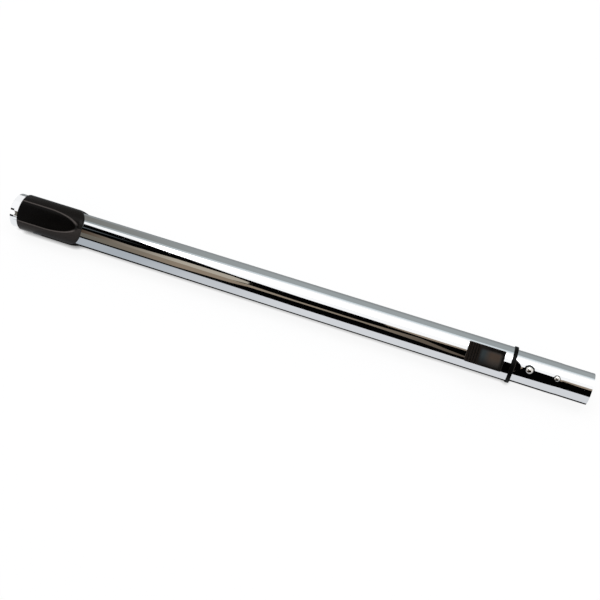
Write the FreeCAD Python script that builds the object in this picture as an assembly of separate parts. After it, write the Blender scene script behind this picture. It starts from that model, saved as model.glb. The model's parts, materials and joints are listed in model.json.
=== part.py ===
"""Telescopic vacuum wand, closed: two chromed steel tubes, slider lock, snap button and grip sleeve.

The wand lies along X. The origin is the centre of the socket's mouth, and +X runs to the spigot.
Everything is built with the slider along local +Z, then rolled about X to the way the wand lies.
"""
import FreeCAD
import Part
import math
import os

Vector = FreeCAD.Vector

# Driving dimensions, in millimetres and degrees.
roll_angle = 36.87            # turn about X that leaves the slider facing up and to the front

outer_diameter = 35.0
outer_wall = 0.75
outer_length = 547.5
tube_gap = 0.75               # radial room between the two tubes
inner_wall = 0.7
spigot_reach = 79.5           # inner tube showing past the outer tube when closed
open_overlap = 78.0           # inner tube left inside when fully drawn out
lock_steps = 12
lock_pitch = 33.0

socket_gap = 0.15             # radial room in the socket for a tube of the outer tube's size
socket_depth = 62.0
socket_taper = 8.0            # cone between the widened socket and the tube
rim_round = 0.25
notch_width = 5.2
notch_depth = 6.0
notch_turn = 14.6             # notch's turn about X from the slider's line
spigot_length = 29.0
spigot_taper = 6.0            # slope between the inner tube and its spigot
spigot_relief = 0.2           # the spigot's last stretch is this much smaller in radius

sleeve_start = 9.0
sleeve_length = 75.3
sleeve_wall = 1.35            # over the socket
sleeve_corner = 14.5          # round corners of the sleeve's nose, seen from the front
sleeve_side_gap = 0.3         # the corners' reach past the sleeve's sides
sleeve_tail_bevel = 0.6
nose_points = 12              # steps along each stretch of the nose
panel_length = 69.7
panel_width = 22.0
panel_straight = 31.0         # length of the panel's parallel sides
panel_depth = 0.8             # at the panel's centre line
panel_edge_depth = 0.55       # at the panel's long sides

ring_width = 4.0
ring_height = 1.0             # the ring's step above the outer tube
ring_bevel = 0.5
guide_length = 13.0
guide_lip = 2.0

flat_depth = 1.8              # pressed flat along the inner tube
flat_run_out = 10.0
flat_past_ring = 10.5         # the run-out's end, past the outer tube's end when closed
flat_tail = 25.0              # full depth kept behind the last detent
detent_depth = 0.9
roller_radius = 2.5
roller_length = 11.0
lock_to_end = 22.3            # roller to the outer tube's end

carrier_length = 26.0
carrier_width = 16.0
carrier_rise = 2.1            # carrier top above the outer tube
carrier_lip = 0.6
carrier_lip_height = 0.8
carrier_flange = 3.0          # flange reach past the block's ends
carrier_flange_side = 1.2
channel_width = 7.8
channel_floor = 0.1           # channel floor below the outer tube's crown
key_length = 6.0
peg_radius = 0.75
peg_length = 2.0

slider_travel = 4.0
slider_width = 20.5
slider_rise = 4.7             # slider top above the outer tube
slider_end_wall = 1.8
slider_corner = 1.2
slider_edge_round = 0.7
spring_gap = 6.5
rib_count = 4
rib_pitch = 2.5
rib_width = 1.2               # width of each groove between ribs
rib_depth = 0.7
rib_margin = 2.2              # slider end to the first groove
scoop_margin = 1.6            # scoop end to the slider's front end
scoop_depth = 1.3
cam_width = 7.0
cam_reach = 2.6               # cam wedge past the roller's centre
spring_wire = 0.4
spring_mean = 2.4
spring_turns = 4.0
coil_facets = 10              # flat facets in one turn of the coil
wire_corners = 5

button_to_end = 18.5          # snap button to the outer tube's end when closed
button_radius = 4.1
button_height = 3.2
button_dome = 2.6
button_flange_radius = 6.2
button_flange = 0.8
button_hole_gap = 1.0
rivet_to_end = 45.5
rivet_head_radius = 3.25
rivet_head_height = 1.7
rivet_shank_radius = 1.6
rivet_tail_radius = 2.7
rivet_tail = 0.8
leaf_thickness = 0.6
leaf_width = 8.0
leaf_overhang = 6.5           # leaf past the centres of button and rivet

seat_gap = 0.05               # fixed pieces of one body
shank_gap = 0.05
run_gap = 0.15                # pieces that slide on each other
stop_gap = 0.3
cut_over = 5.0                # how far a cutting tool runs past what it cuts

# Sizes worked out from the driving dimensions.
outer_radius = outer_diameter / 2
outer_bore = outer_radius - outer_wall
socket_radius = outer_radius + socket_gap
socket_outer = socket_radius + outer_wall
taper_end = socket_depth + socket_taper
inner_radius = outer_bore - tube_gap
inner_bore = inner_radius - inner_wall
travel = lock_steps * lock_pitch
inner_start = outer_length - open_overlap - travel
inner_end = outer_length + spigot_reach
spigot_start = inner_end - spigot_length
spigot_radius = inner_radius - spigot_relief

sleeve_radius = socket_outer + seat_gap + sleeve_wall
sleeve_end = sleeve_start + sleeve_length
nose_half = sleeve_radius + sleeve_side_gap - sleeve_corner

bush_outer = outer_bore - seat_gap
bush_inner = inner_radius + run_gap
bush_start = outer_length - open_overlap + guide_length + stop_gap
ring_radius = outer_radius + ring_height

roller_x = outer_length - lock_to_end
flat_z = inner_radius - flat_depth
roller_seat_gap = 0.1
roller_z = flat_z - detent_depth + roller_seat_gap + roller_radius
detent_radius = roller_radius + roller_seat_gap
roller_lift = detent_depth + run_gap + seat_gap
cam_slope = roller_lift / slider_travel

carrier_start = roller_x - carrier_length / 2
carrier_end = roller_x + carrier_length / 2
carrier_top = outer_radius + carrier_rise
carrier_half = carrier_width / 2
lip_half = carrier_half + carrier_lip
channel_z = outer_radius - channel_floor

cavity_start = carrier_start - spring_gap
cavity_end = carrier_end + stop_gap
cavity_top = carrier_top + run_gap
slider_start = cavity_start - slider_end_wall
slider_end = cavity_end + slider_end_wall
slider_half = slider_width / 2
slider_top = outer_radius + slider_rise

button_x = outer_length + button_to_end
rivet_x = outer_length + rivet_to_end


def rod(radius, start, end):
    """Solid cylinder along the wand's axis."""
    return Part.makeCylinder(radius, end - start, Vector(start, 0, 0), Vector(1, 0, 0))


def pipe(radius, bore, start, end):
    """Tube along the wand's axis."""
    return rod(radius, start, end).cut(rod(bore, start - cut_over, end + cut_over))


def stepped_rod(wide, narrow, start, end):
    """Solid with the outer tube's turned form: socket, cone and tube."""
    cone = Part.makeCone(wide, narrow, socket_taper, Vector(socket_depth, 0, 0), Vector(1, 0, 0))
    return rod(wide, start, socket_depth).fuse([cone, rod(narrow, taper_end, end)])


def post(radius, x, bottom, top):
    """Solid cylinder across the wand, on its centre line."""
    return Part.makeCylinder(radius, top - bottom, Vector(x, 0, bottom), Vector(0, 0, 1))


def cross_rod(radius, x, z, half_length):
    """Solid cylinder along Y."""
    return Part.makeCylinder(radius, 2 * half_length, Vector(x, -half_length, z), Vector(0, 1, 0))


def block(start, end, half_width, bottom, top):
    """Box centred on the wand's middle plane."""
    corner = Vector(start, -half_width, bottom)
    return Part.makeBox(end - start, 2 * half_width, top - bottom, corner)


def side_prism(points, half_width):
    """Closed outline in the XZ plane, drawn out to both sides of the middle plane."""
    corners = [Vector(x, -half_width, z) for x, z in points]
    outline = Part.makePolygon(corners + corners[:1])
    return Part.Face(outline).extrude(Vector(0, 2 * half_width, 0))


def lines(points):
    """Straight edges through points."""
    return [Part.makeLine(a, b) for a, b in zip(points, points[1:])]


def edges_at(shape, test):
    """Edges of a shape that pass a test."""
    return [edge for edge in shape.Edges if test(edge)]


def is_ring_edge(edge, x, radius):
    """True for a full circle about the axis with this place and radius."""
    curve = edge.Curve
    if not hasattr(curve, "Radius"):
        return False
    return abs(curve.Center.x - x) < 1e-4 and abs(curve.Radius - radius) < 1e-4


def half_chord_height(radius, half_width):
    """Height of a circle's edge above its centre at a distance to the side."""
    return math.sqrt(radius ** 2 - half_width ** 2)


def build_outer_tube():
    """Chromed tube with a widened socket, a locating notch and the window for the lock."""
    tube = stepped_rod(socket_outer, outer_radius, 0, outer_length)
    rim = edges_at(tube, lambda edge: is_ring_edge(edge, 0, socket_outer))
    tube = tube.makeFillet(rim_round, rim)
    tube = tube.cut(stepped_rod(socket_radius, outer_bore, -cut_over, outer_length + cut_over))
    notch_end = notch_depth - notch_width / 2
    notch = block(-cut_over, notch_end, notch_width / 2, 0, socket_outer + cut_over)
    notch = notch.fuse(post(notch_width / 2, notch_end, 0, socket_outer + cut_over))
    notch.rotate(Vector(0, 0, 0), Vector(1, 0, 0), notch_turn)
    window = block(carrier_start - seat_gap, carrier_end + seat_gap,
                   carrier_half + seat_gap, 0, outer_radius + cut_over)
    return tube.cut(notch).cut(window)


def detents(radius, half_length):
    """One cross rod at each lock position along the inner tube."""
    return [cross_rod(radius, roller_x - step * lock_pitch, roller_z, half_length)
            for step in range(lock_steps + 1)]


def flat_tool(depth, ceiling):
    """Cutter that leaves a flat with sloping ends at a depth below the inner tube's crown."""
    start = roller_x - travel - flat_tail
    end = outer_length + flat_past_ring
    low = inner_radius - depth
    top = inner_radius - depth + flat_depth
    outline = [(start - flat_run_out, top), (start, low), (end - flat_run_out, low), (end, top),
               (end, ceiling), (start - flat_run_out, ceiling)]
    return side_prism(outline, inner_radius + cut_over)


def build_inner_tube():
    """Chromed tube with a pressed flat, a row of detents, and holes for snap button and rivet."""
    ceiling = inner_radius + cut_over
    detent_half = roller_length / 2 + stop_gap
    taper_start = spigot_start - spigot_taper
    taper = Part.makeCone(inner_radius, spigot_radius, spigot_taper,
                          Vector(taper_start, 0, 0), Vector(1, 0, 0))
    skin = rod(inner_radius, inner_start, taper_start)
    skin = skin.fuse([taper, rod(spigot_radius, spigot_start, inner_end)])
    skin = skin.cut(flat_tool(flat_depth, ceiling)).cut(detents(detent_radius, detent_half))
    core = rod(inner_bore, inner_start - cut_over, inner_end + cut_over)
    core = core.cut(flat_tool(flat_depth + inner_wall, ceiling))
    core = core.cut(detents(detent_radius + inner_wall, detent_half + inner_wall))
    tube = skin.cut(core)
    tube = tube.cut(post(button_radius + button_hole_gap, button_x, 0, ceiling))
    return tube.cut(post(rivet_shank_radius + shank_gap, rivet_x, 0, ceiling))


def panel_outline():
    """Tongue outline of the sleeve's panel: parallel sides, then half an ellipse to the tip."""
    half = panel_width / 2
    back = sleeve_start - cut_over
    shoulder = sleeve_start + panel_straight
    reach = panel_length - panel_straight
    ellipse = Part.Ellipse(Vector(shoulder + reach, 0, 0), Vector(shoulder, half, 0), Vector(shoulder, 0, 0))
    tip = ellipse.toShape(-math.pi / 2, math.pi / 2)
    low, high = tip.Vertexes[0].Point, tip.Vertexes[-1].Point
    sides = lines([high, Vector(back, high.y, 0), Vector(back, low.y, 0), low])
    return Part.Wire([tip] + sides)


def nose_edge(start, end, radius):
    """Stretch of the sleeve's nose between two turns about the axis, at a radius."""
    points = []
    for step in range(nose_points + 1):
        turn = start + (end - start) * step / nose_points
        over = max(0, abs(sleeve_radius * math.sin(turn)) - nose_half)
        x = sleeve_end - sleeve_corner + half_chord_height(sleeve_corner, over)
        points.append(Vector(x, radius * math.sin(turn), radius * math.cos(turn)))
    curve = Part.BSplineCurve()
    curve.interpolate(points)
    return curve.toShape()


def nose_cutters():
    """Solids past the sleeve's nose: a square end with round corners, seen from the front."""
    corner = math.asin(nose_half / sleeve_radius)
    turns = [-corner, corner, math.pi - corner, math.pi + corner, 2 * math.pi - corner]
    cutters = []
    for start, end in zip(turns, turns[1:]):
        face = Part.makeRuledSurface(nose_edge(start, end, outer_radius - cut_over),
                                     nose_edge(start, end, sleeve_radius + cut_over))
        cutters.append(face.extrude(Vector(sleeve_length, 0, 0)))
    return cutters


def build_sleeve():
    """Moulded grip sleeve with a tongue nose, and a sunk, crowned panel on its front and on its back."""
    barrel = rod(sleeve_radius, sleeve_start, sleeve_end + cut_over)
    tail = edges_at(barrel, lambda edge: is_ring_edge(edge, sleeve_start, sleeve_radius))
    barrel = barrel.makeChamfer(sleeve_tail_bevel, tail)
    bore = stepped_rod(socket_outer + seat_gap, outer_radius + seat_gap,
                       sleeve_start - cut_over, sleeve_end + 2 * cut_over)
    sleeve = barrel.cut(bore).cut(nose_cutters())
    half = panel_width / 2
    crown = sleeve_radius - panel_depth
    drop = crown - (half_chord_height(sleeve_radius, half) - panel_edge_depth)
    floor_radius = (half ** 2 + drop ** 2) / (2 * drop)
    prism = Part.Face(panel_outline()).extrude(Vector(0, 0, sleeve_radius + cut_over))
    floor = rod(floor_radius, sleeve_start - 2 * cut_over, sleeve_end + cut_over)
    floor.translate(Vector(0, 0, crown - floor_radius))
    cutter = prism.cut(floor)
    back_cutter = cutter.copy()
    back_cutter.rotate(Vector(0, 0, 0), Vector(1, 0, 0), 180)
    return sleeve.cut(cutter).cut(back_cutter)


def build_end_bush():
    """Guide bush in the outer tube's end. Its flange is the ring, and its key runs on the flat."""
    bush = pipe(bush_outer, bush_inner, bush_start, outer_length)
    key_end = outer_length + flat_past_ring - flat_run_out - stop_gap
    key = rod(bush_outer, key_end - key_length, key_end)
    key = key.common(block(key_end - key_length, key_end, bush_outer, flat_z + run_gap, bush_outer))
    ring = pipe(ring_radius, bush_inner, outer_length, outer_length + ring_width)
    rims = edges_at(ring, lambda edge: hasattr(edge.Curve, "Radius") and edge.Curve.Radius > outer_radius)
    ring = ring.makeChamfer(ring_bevel, rims)
    bush = bush.fuse([key, ring]).removeSplitter()
    seat = block(carrier_start - carrier_flange - seat_gap, carrier_end + carrier_flange + seat_gap,
                 carrier_half + carrier_flange_side + seat_gap, 0, outer_radius)
    return bush.cut(seat)


def build_guide_ring():
    """Plastic ring on the inner tube's hidden end, which runs in the outer tube and is its stop."""
    ring = pipe(outer_bore - run_gap, inner_bore, inner_start - guide_lip, inner_start + guide_length)
    return ring.cut(rod(inner_radius + seat_gap, inner_start, inner_start + guide_length + cut_over))


def build_lock_carrier():
    """Carrier held by its flange under the window, with cheeks that guide the roller's ends."""
    flange = pipe(bush_outer, bush_inner, carrier_start - carrier_flange, carrier_end + carrier_flange)
    flange = flange.common(block(carrier_start - carrier_flange, carrier_end + carrier_flange,
                                 carrier_half + carrier_flange_side, 0, outer_radius))
    body = block(carrier_start, carrier_end, carrier_half, 0, carrier_top)
    lips = block(carrier_start, carrier_end, lip_half, carrier_top - carrier_lip_height, carrier_top)
    body = body.fuse(lips).cut(rod(bush_inner, carrier_start - cut_over, carrier_end + cut_over))
    pegs = [spring_axis_rod(side, peg_radius, carrier_start - peg_length, carrier_start + 1)
            for side in (-1, 1)]
    carrier = body.fuse([flange] + pegs)
    channel = block(carrier_start - cut_over, carrier_end + cut_over, channel_width / 2,
                    channel_z, carrier_top + cut_over)
    slot = block(roller_x - roller_radius - run_gap, roller_x + roller_radius + run_gap,
                 roller_length / 2 + run_gap, 0, carrier_top + cut_over)
    return carrier.cut(channel).cut(slot).removeSplitter()


def spring_centre(side):
    """Side and height of a return spring's axis, behind a carrier cheek and just above the tube."""
    y = side * (channel_width / 2 + carrier_half) / 2
    reach = outer_radius + run_gap + (spring_mean + spring_wire) / 2
    return y, half_chord_height(reach, abs(y))


def spring_axis_rod(side, radius, start, end):
    """Solid cylinder along a return spring's axis."""
    y, z = spring_centre(side)
    return Part.makeCylinder(radius, end - start, Vector(start, y, z), Vector(1, 0, 0))


def wire_ring(start, side, turn, lead):
    """Corners of the spring wire's section at a turn of the coil, in radians."""
    y, z = spring_centre(side)
    outward = Vector(0, math.cos(turn), math.sin(turn))
    centre = Vector(start + lead * turn, y, z) + outward * (spring_mean / 2)
    angles = [2 * math.pi * corner / wire_corners for corner in range(wire_corners)]
    return [centre + outward * (spring_wire / 2 * math.cos(a)) + Vector(spring_wire / 2 * math.sin(a), 0, 0)
            for a in angles]


def build_slider_spring(side):
    """Coiled return spring between the slider's end wall and the carrier, in flat facets."""
    length = spring_gap - 2 * seat_gap - spring_wire
    start = cavity_start + seat_gap + spring_wire / 2
    steps = int(spring_turns * coil_facets)
    sweep = 2 * math.pi * spring_turns
    rings = [wire_ring(start, side, sweep * step / steps, length / sweep) for step in range(steps + 1)]
    corners = [rings[0], rings[-1]]
    for ring, following in zip(rings, rings[1:]):
        for a in range(wire_corners):
            b = (a + 1) % wire_corners
            corners.append([ring[a], ring[b], following[b]])
            corners.append([ring[a], following[b], following[a]])
    faces = [Part.Face(Part.makePolygon(points + points[:1])) for points in corners]
    spring = Part.Solid(Part.Shell(faces))
    return spring if spring.Volume > 0 else spring.reversed()


def cam_wedge():
    """Wedge under the slider that holds the roller down and lets it rise as the slider moves."""
    rise = (roller_radius + roller_seat_gap) * math.sqrt(1 + cam_slope ** 2)
    contact_z = roller_z + rise
    back = (contact_z - cavity_top) / cam_slope
    front_z = contact_z - cam_slope * cam_reach
    outline = [(roller_x + back, cavity_top), (roller_x + cam_reach, front_z),
               (roller_x + cam_reach, cavity_top + carrier_lip)]
    outline.append((roller_x + back, cavity_top + carrier_lip))
    return side_prism(outline, cam_width / 2)


def build_slider():
    """Thumb slider: a saddle-bottomed cap with ribs, a thumb scoop, hooks and the cam wedge."""
    cap = block(slider_start, slider_end, slider_half, 0, slider_top)
    uprights = edges_at(cap, lambda edge: abs(edge.tangentAt(edge.FirstParameter).z) > 0.99)
    cap = cap.makeFillet(slider_corner, uprights)
    rim = edges_at(cap, lambda edge: edge.BoundBox.ZMin > slider_top - 1e-4)
    cap = cap.makeFillet(slider_edge_round, rim)
    ribs_end = slider_start + rib_margin + (rib_count - 1) * rib_pitch + rib_width
    for index in range(rib_count):
        start = slider_start + rib_margin + index * rib_pitch
        cap = cap.cut(block(start, start + rib_width, slider_half + cut_over,
                            slider_top - rib_depth, slider_top + cut_over))
    scoop_half = (slider_end - scoop_margin - ribs_end - rib_width) / 2
    scoop_radius = (scoop_half ** 2 + scoop_depth ** 2) / (2 * scoop_depth)
    scoop_x = slider_end - scoop_margin - scoop_half
    scoop_z = slider_top - scoop_depth + scoop_radius
    cap = cap.cut(cross_rod(scoop_radius, scoop_x, scoop_z, slider_half + cut_over))
    hook_top = carrier_top - carrier_lip_height - run_gap
    cap = cap.cut(block(cavity_start, cavity_end, carrier_half + run_gap, 0, cavity_top))
    cap = cap.cut(block(cavity_start, cavity_end, lip_half + run_gap, hook_top, cavity_top))
    cap = cap.fuse(cam_wedge())
    return cap.cut(rod(outer_radius + run_gap, slider_start - cut_over, slider_end + cut_over))


def build_lock_roller():
    """Hardened roller that drops into a detent of the inner tube."""
    return cross_rod(roller_radius, roller_x, roller_z, roller_length / 2)


def button_seat():
    """Height of the snap button's flange top under the inner tube's wall."""
    return half_chord_height(inner_bore, button_flange_radius) - run_gap


def dome(radius, x, base, height):
    """Cap of a ball across the wand, with a round base."""
    ball_radius = (radius ** 2 + height ** 2) / (2 * height)
    ball = Part.makeSphere(ball_radius, Vector(x, 0, base + height - ball_radius))
    return ball.common(post(radius + cut_over, x, base, base + height + cut_over))


def build_snap_button():
    """Domed button that stands out through the inner tube, with a flange under its wall."""
    shoulder = button_seat()
    dome_start = inner_radius + button_height - button_dome
    flange = post(button_flange_radius, button_x, shoulder - button_flange, shoulder)
    stem = post(button_radius, button_x, shoulder - button_flange, dome_start)
    return flange.fuse([stem, dome(button_radius, button_x, dome_start, button_dome)]).removeSplitter()


def leaf_heights():
    """Top of the leaf spring at the button and at the rivet."""
    at_button = button_seat() - button_flange - seat_gap
    at_rivet = half_chord_height(inner_bore, leaf_width / 2) - seat_gap
    return at_button, at_rivet


def build_button_leaf():
    """Leaf spring inside the inner tube: riveted at one end, pushing the snap button out at the other."""
    at_button, at_rivet = leaf_heights()
    bends = [(button_x - leaf_overhang, at_button), (button_x + leaf_overhang, at_button),
             (rivet_x - leaf_overhang, at_rivet), (rivet_x + leaf_overhang, at_rivet)]
    under = [(x, z - leaf_thickness) for x, z in reversed(bends)]
    leaf = side_prism(bends + under, leaf_width / 2)
    return leaf.cut(post(rivet_shank_radius + shank_gap, rivet_x, 0, inner_radius))


def build_leaf_rivet():
    """Dome-headed rivet through tube wall and leaf spring."""
    _, at_rivet = leaf_heights()
    clinch = at_rivet - leaf_thickness - seat_gap
    seat = inner_radius + shank_gap
    shank = post(rivet_shank_radius, rivet_x, clinch - rivet_tail, seat)
    tail = post(rivet_tail_radius, rivet_x, clinch - rivet_tail, clinch)
    head = dome(rivet_head_radius, rivet_x, seat, rivet_head_height)
    return shank.fuse([tail, head]).removeSplitter()


def write_parts():
    """Build each piece, roll it to the way the wand lies, and write it to its own file."""
    pieces = {
        "outer_tube": build_outer_tube(),
        "grip_sleeve": build_sleeve(),
        "end_bush": build_end_bush(),
        "lock_carrier": build_lock_carrier(),
        "lock_roller": build_lock_roller(),
        "thumb_slider": build_slider(),
        "slider_spring_left": build_slider_spring(-1),
        "slider_spring_right": build_slider_spring(1),
        "inner_tube": build_inner_tube(),
        "guide_ring": build_guide_ring(),
        "snap_button": build_snap_button(),
        "button_leaf": build_button_leaf(),
        "leaf_rivet": build_leaf_rivet(),
    }
    os.makedirs("parts", exist_ok=True)
    for name, shape in pieces.items():
        shape.rotate(Vector(0, 0, 0), Vector(1, 0, 0), roll_angle)
        shape.exportStep(f"parts/{name}.step")
        print(f"{name}: valid {shape.isValid()}, solids {len(shape.Solids)}, volume {shape.Volume:.1f} mm3")


write_parts()
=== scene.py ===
"""Looks of a closed telescopic vacuum wand: chromed tubes, black plastic fittings, bright button and rivet.

Meshes are drawn in the wand's own millimetres, with the slider along local +Z, and then rolled about X
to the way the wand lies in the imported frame.
"""
import json
import logging
import math
from abc import ABC, abstractmethod
from dataclasses import dataclass
from enum import Enum
from typing import Any, Mapping, Sequence

import bmesh
import bpy
from mathutils import Matrix, Vector


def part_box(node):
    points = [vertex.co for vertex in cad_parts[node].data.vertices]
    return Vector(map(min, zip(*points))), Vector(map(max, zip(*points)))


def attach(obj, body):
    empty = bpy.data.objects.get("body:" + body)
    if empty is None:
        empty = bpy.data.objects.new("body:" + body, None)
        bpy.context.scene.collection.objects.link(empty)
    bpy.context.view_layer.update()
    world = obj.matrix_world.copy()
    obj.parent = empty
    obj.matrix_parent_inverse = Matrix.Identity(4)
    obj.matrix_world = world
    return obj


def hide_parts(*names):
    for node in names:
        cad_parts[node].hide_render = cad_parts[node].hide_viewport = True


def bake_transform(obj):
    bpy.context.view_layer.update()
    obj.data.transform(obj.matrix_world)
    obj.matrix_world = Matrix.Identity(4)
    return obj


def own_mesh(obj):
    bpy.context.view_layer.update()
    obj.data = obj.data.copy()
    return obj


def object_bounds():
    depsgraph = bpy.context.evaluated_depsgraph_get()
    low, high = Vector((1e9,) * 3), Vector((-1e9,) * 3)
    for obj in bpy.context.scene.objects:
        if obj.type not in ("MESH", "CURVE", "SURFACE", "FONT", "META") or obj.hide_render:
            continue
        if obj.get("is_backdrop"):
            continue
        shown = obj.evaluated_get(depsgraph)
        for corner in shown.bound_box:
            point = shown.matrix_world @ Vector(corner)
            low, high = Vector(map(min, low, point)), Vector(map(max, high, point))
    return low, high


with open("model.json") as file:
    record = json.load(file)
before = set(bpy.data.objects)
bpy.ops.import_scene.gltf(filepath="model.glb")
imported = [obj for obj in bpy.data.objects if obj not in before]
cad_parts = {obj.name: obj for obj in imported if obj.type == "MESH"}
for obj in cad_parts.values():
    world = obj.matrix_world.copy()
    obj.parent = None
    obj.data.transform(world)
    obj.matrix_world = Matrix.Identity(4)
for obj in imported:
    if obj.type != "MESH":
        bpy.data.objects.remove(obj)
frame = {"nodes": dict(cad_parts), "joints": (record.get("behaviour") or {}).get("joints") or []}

LOG = logging.getLogger("wand")
MM = 0.001
PICTURE_SIDE = 600
SENSOR_MM = 36.0
AHEAD = Vector((1, 0, 0))
QUARTER = math.pi / 2
NOTCH_TURN = 14.6  # degrees from the slider's line to the notch in the mouth
SHARP_EDGE = 14.0  # degrees
SHADE_STOP = 0.8  # mm past a taper, where a ring stops its shading from running along the straight tube
MERGE = 1e-5  # corners closer than this, in the mesh's own unit, become one
TINY = 1e-9
HOLE_CORNERS = 64
EDGE_SAMPLES = 6
MIX_A, MIX_B, MIX_COLOUR = 6, 7, 2  # numbers of a mix node's colour sockets: two inputs and the output
FAR_SHARE = "far_share"
LAYER = 0.0001  # metres between cards that lie on one another

Tree = bpy.types.NodeTree
Node = bpy.types.Node
Socket = bpy.types.NodeSocket
Piece = bpy.types.Object
Point = Sequence[float]
Ring = Sequence[Point]


class Slot(Enum):
    """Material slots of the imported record."""

    CHROME_TUBE = "chrome_tube"
    SPRING_STEEL = "spring_steel"
    BLACK_SLEEVE = "black_sleeve"


class Body(Enum):
    """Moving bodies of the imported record."""

    OUTER = "outer"
    INNER = "inner"
    BUTTON = "button"


def linear(code: str) -> tuple[float, float, float, float]:
    """Turn an sRGB hex colour into linear RGBA.

    Args:
        code: colour as "#RRGGBB".

    Returns:
        Linear red, green, blue and an alpha of 1.
    """
    shares = [int(code[at:at + 2], 16) / 255 for at in (1, 3, 5)]
    values = [c / 12.92 if c <= 0.04045 else ((c + 0.055) / 1.055) ** 2.4 for c in shares]
    return values[0], values[1], values[2], 1.0


def add_node(tree: Tree, kind: str, settings: Mapping[Any, Any] | None = None,
             links: Mapping[Any, Socket] | None = None) -> Node:
    """Add a node with its settings and links.

    Args:
        tree: node tree that gets the node.
        kind: Blender's name for the node's type.
        settings: values by property name, input name or input number.
        links: sockets that feed inputs, by input name or number.

    Returns:
        The new node.
    """
    node = tree.nodes.new(kind)
    for key, value in (settings or {}).items():
        if isinstance(key, str) and hasattr(node, key):
            setattr(node, key, value)
        else:
            node.inputs[key].default_value = value
    for key, socket in (links or {}).items():
        tree.links.new(socket, node.inputs[key])
    return node


def empty_tree(owner: bpy.types.Material | bpy.types.World) -> Tree:
    """Give a material or a world an empty node tree.

    Args:
        owner: the material or world.

    Returns:
        Its tree.
    """
    owner.use_nodes = True
    owner.node_tree.nodes.clear()
    return owner.node_tree


def smooth_step(low: float, high: float, value: float) -> float:
    """Share from 0 to 1, with soft ends, of where a value lies between two limits."""
    share = min(1.0, max(0.0, (value - low) / (high - low)))
    return share * share * (3 - 2 * share)


@dataclass(frozen=True)
class Surface:
    """A material's nodes while its finish is laid on.

    Attributes:
        tree: the material's node tree.
        shader: its surface shader.
        place: coordinates in the wand's frame, in metres.
    """

    tree: Tree
    shader: Node
    place: Socket

    def noise(self, sizes_mm: Sequence[float], detail: float) -> Socket:
        """Noise with features of a real size along each axis.

        Args:
            sizes_mm: feature size along X, Y and Z, in millimetres.
            detail: octaves of finer noise.

        Returns:
            The noise's value.
        """
        scale = [1 / (size * MM) for size in sizes_mm]
        mapped = add_node(self.tree, "ShaderNodeMapping", {"Scale": scale}, {"Vector": self.place})
        made = add_node(self.tree, "ShaderNodeTexNoise", {"Scale": 1.0, "Detail": detail},
                        {"Vector": mapped.outputs["Vector"]})
        return made.outputs["Fac"]

    def measure(self, way: Vector) -> Socket:
        """Coordinate along a unit direction of the wand's frame, in metres."""
        dot = add_node(self.tree, "ShaderNodeVectorMath", {"operation": "DOT_PRODUCT", 1: way}, {0: self.place})
        return dot.outputs["Value"]

    def vary_roughness(self, value: Socket, mean: float, spread: float) -> None:
        """Let a noise move the roughness up and down about its mean.

        Args:
            value: noise from 0 to 1.
            mean: roughness in the middle.
            spread: largest change of roughness.
        """
        limits = {"To Min": max(0.0, mean - spread), "To Max": mean + spread}
        ranged = add_node(self.tree, "ShaderNodeMapRange", limits, {"Value": value})
        self.tree.links.new(ranged.outputs["Result"], self.shader.inputs["Roughness"])

    def vary_colour(self, share: Socket, other: str) -> None:
        """Lay another colour over the one that the shader has so far.

        Args:
            share: share of the other colour, from 0 to 1.
            other: the other colour, sRGB hex.
        """
        colour = self.shader.inputs["Base Color"]
        tones = {"data_type": "RGBA", MIX_A: tuple(colour.default_value), MIX_B: linear(other)}
        mixed = add_node(self.tree, "ShaderNodeMix", tones, {0: share})
        for under in colour.links:
            self.tree.links.new(under.from_socket, mixed.inputs[MIX_A])
        self.tree.links.new(mixed.outputs[MIX_COLOUR], colour)

    def tone(self, colour: str, *limits: tuple[Socket, float, float]) -> None:
        """Lay a colour where every coordinate is past its limit.

        Args:
            colour: sRGB hex colour.
            limits: a coordinate in metres, and the places in millimetres where the colour starts and is full.
        """
        shares = [add_node(self.tree, "ShaderNodeMapRange", {"From Min": start * MM, "From Max": full * MM},
                           {"Value": value}).outputs["Result"] for value, start, full in limits]
        whole = shares[0]
        for share in shares[1:]:
            product = add_node(self.tree, "ShaderNodeMath", {"operation": "MULTIPLY"}, {0: whole, 1: share})
            whole = product.outputs[0]
        self.vary_colour(whole, colour)


@dataclass(frozen=True)
class Finish(ABC):
    """A surface finish, made into one material.

    Attributes:
        name: the real material and how its surface was made.
        colour: sRGB hex colour.
        roughness: mean roughness of the surface.
    """

    name: str
    colour: str
    roughness: float

    def material(self) -> bpy.types.Material:
        """Make the material, or find it if it was made before.

        Returns:
            The material with its node tree.
        """
        found = bpy.data.materials.get(self.name)
        if found is not None:
            return found
        made = bpy.data.materials.new(self.name)
        made.diffuse_color = linear(self.colour)
        tree = empty_tree(made)
        place = add_node(tree, "ShaderNodeTexCoord")
        shader = add_node(tree, "ShaderNodeBsdfPrincipled",
                          {"Base Color": linear(self.colour), "Roughness": self.roughness})
        self.dress(Surface(tree, shader, place.outputs["Object"]))
        add_node(tree, "ShaderNodeOutputMaterial", links={"Surface": shader.outputs["BSDF"]})
        return made

    @abstractmethod
    def dress(self, surface: Surface) -> None:
        """Add the finish's own nodes.

        Args:
            surface: the material's nodes so far.
        """


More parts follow.
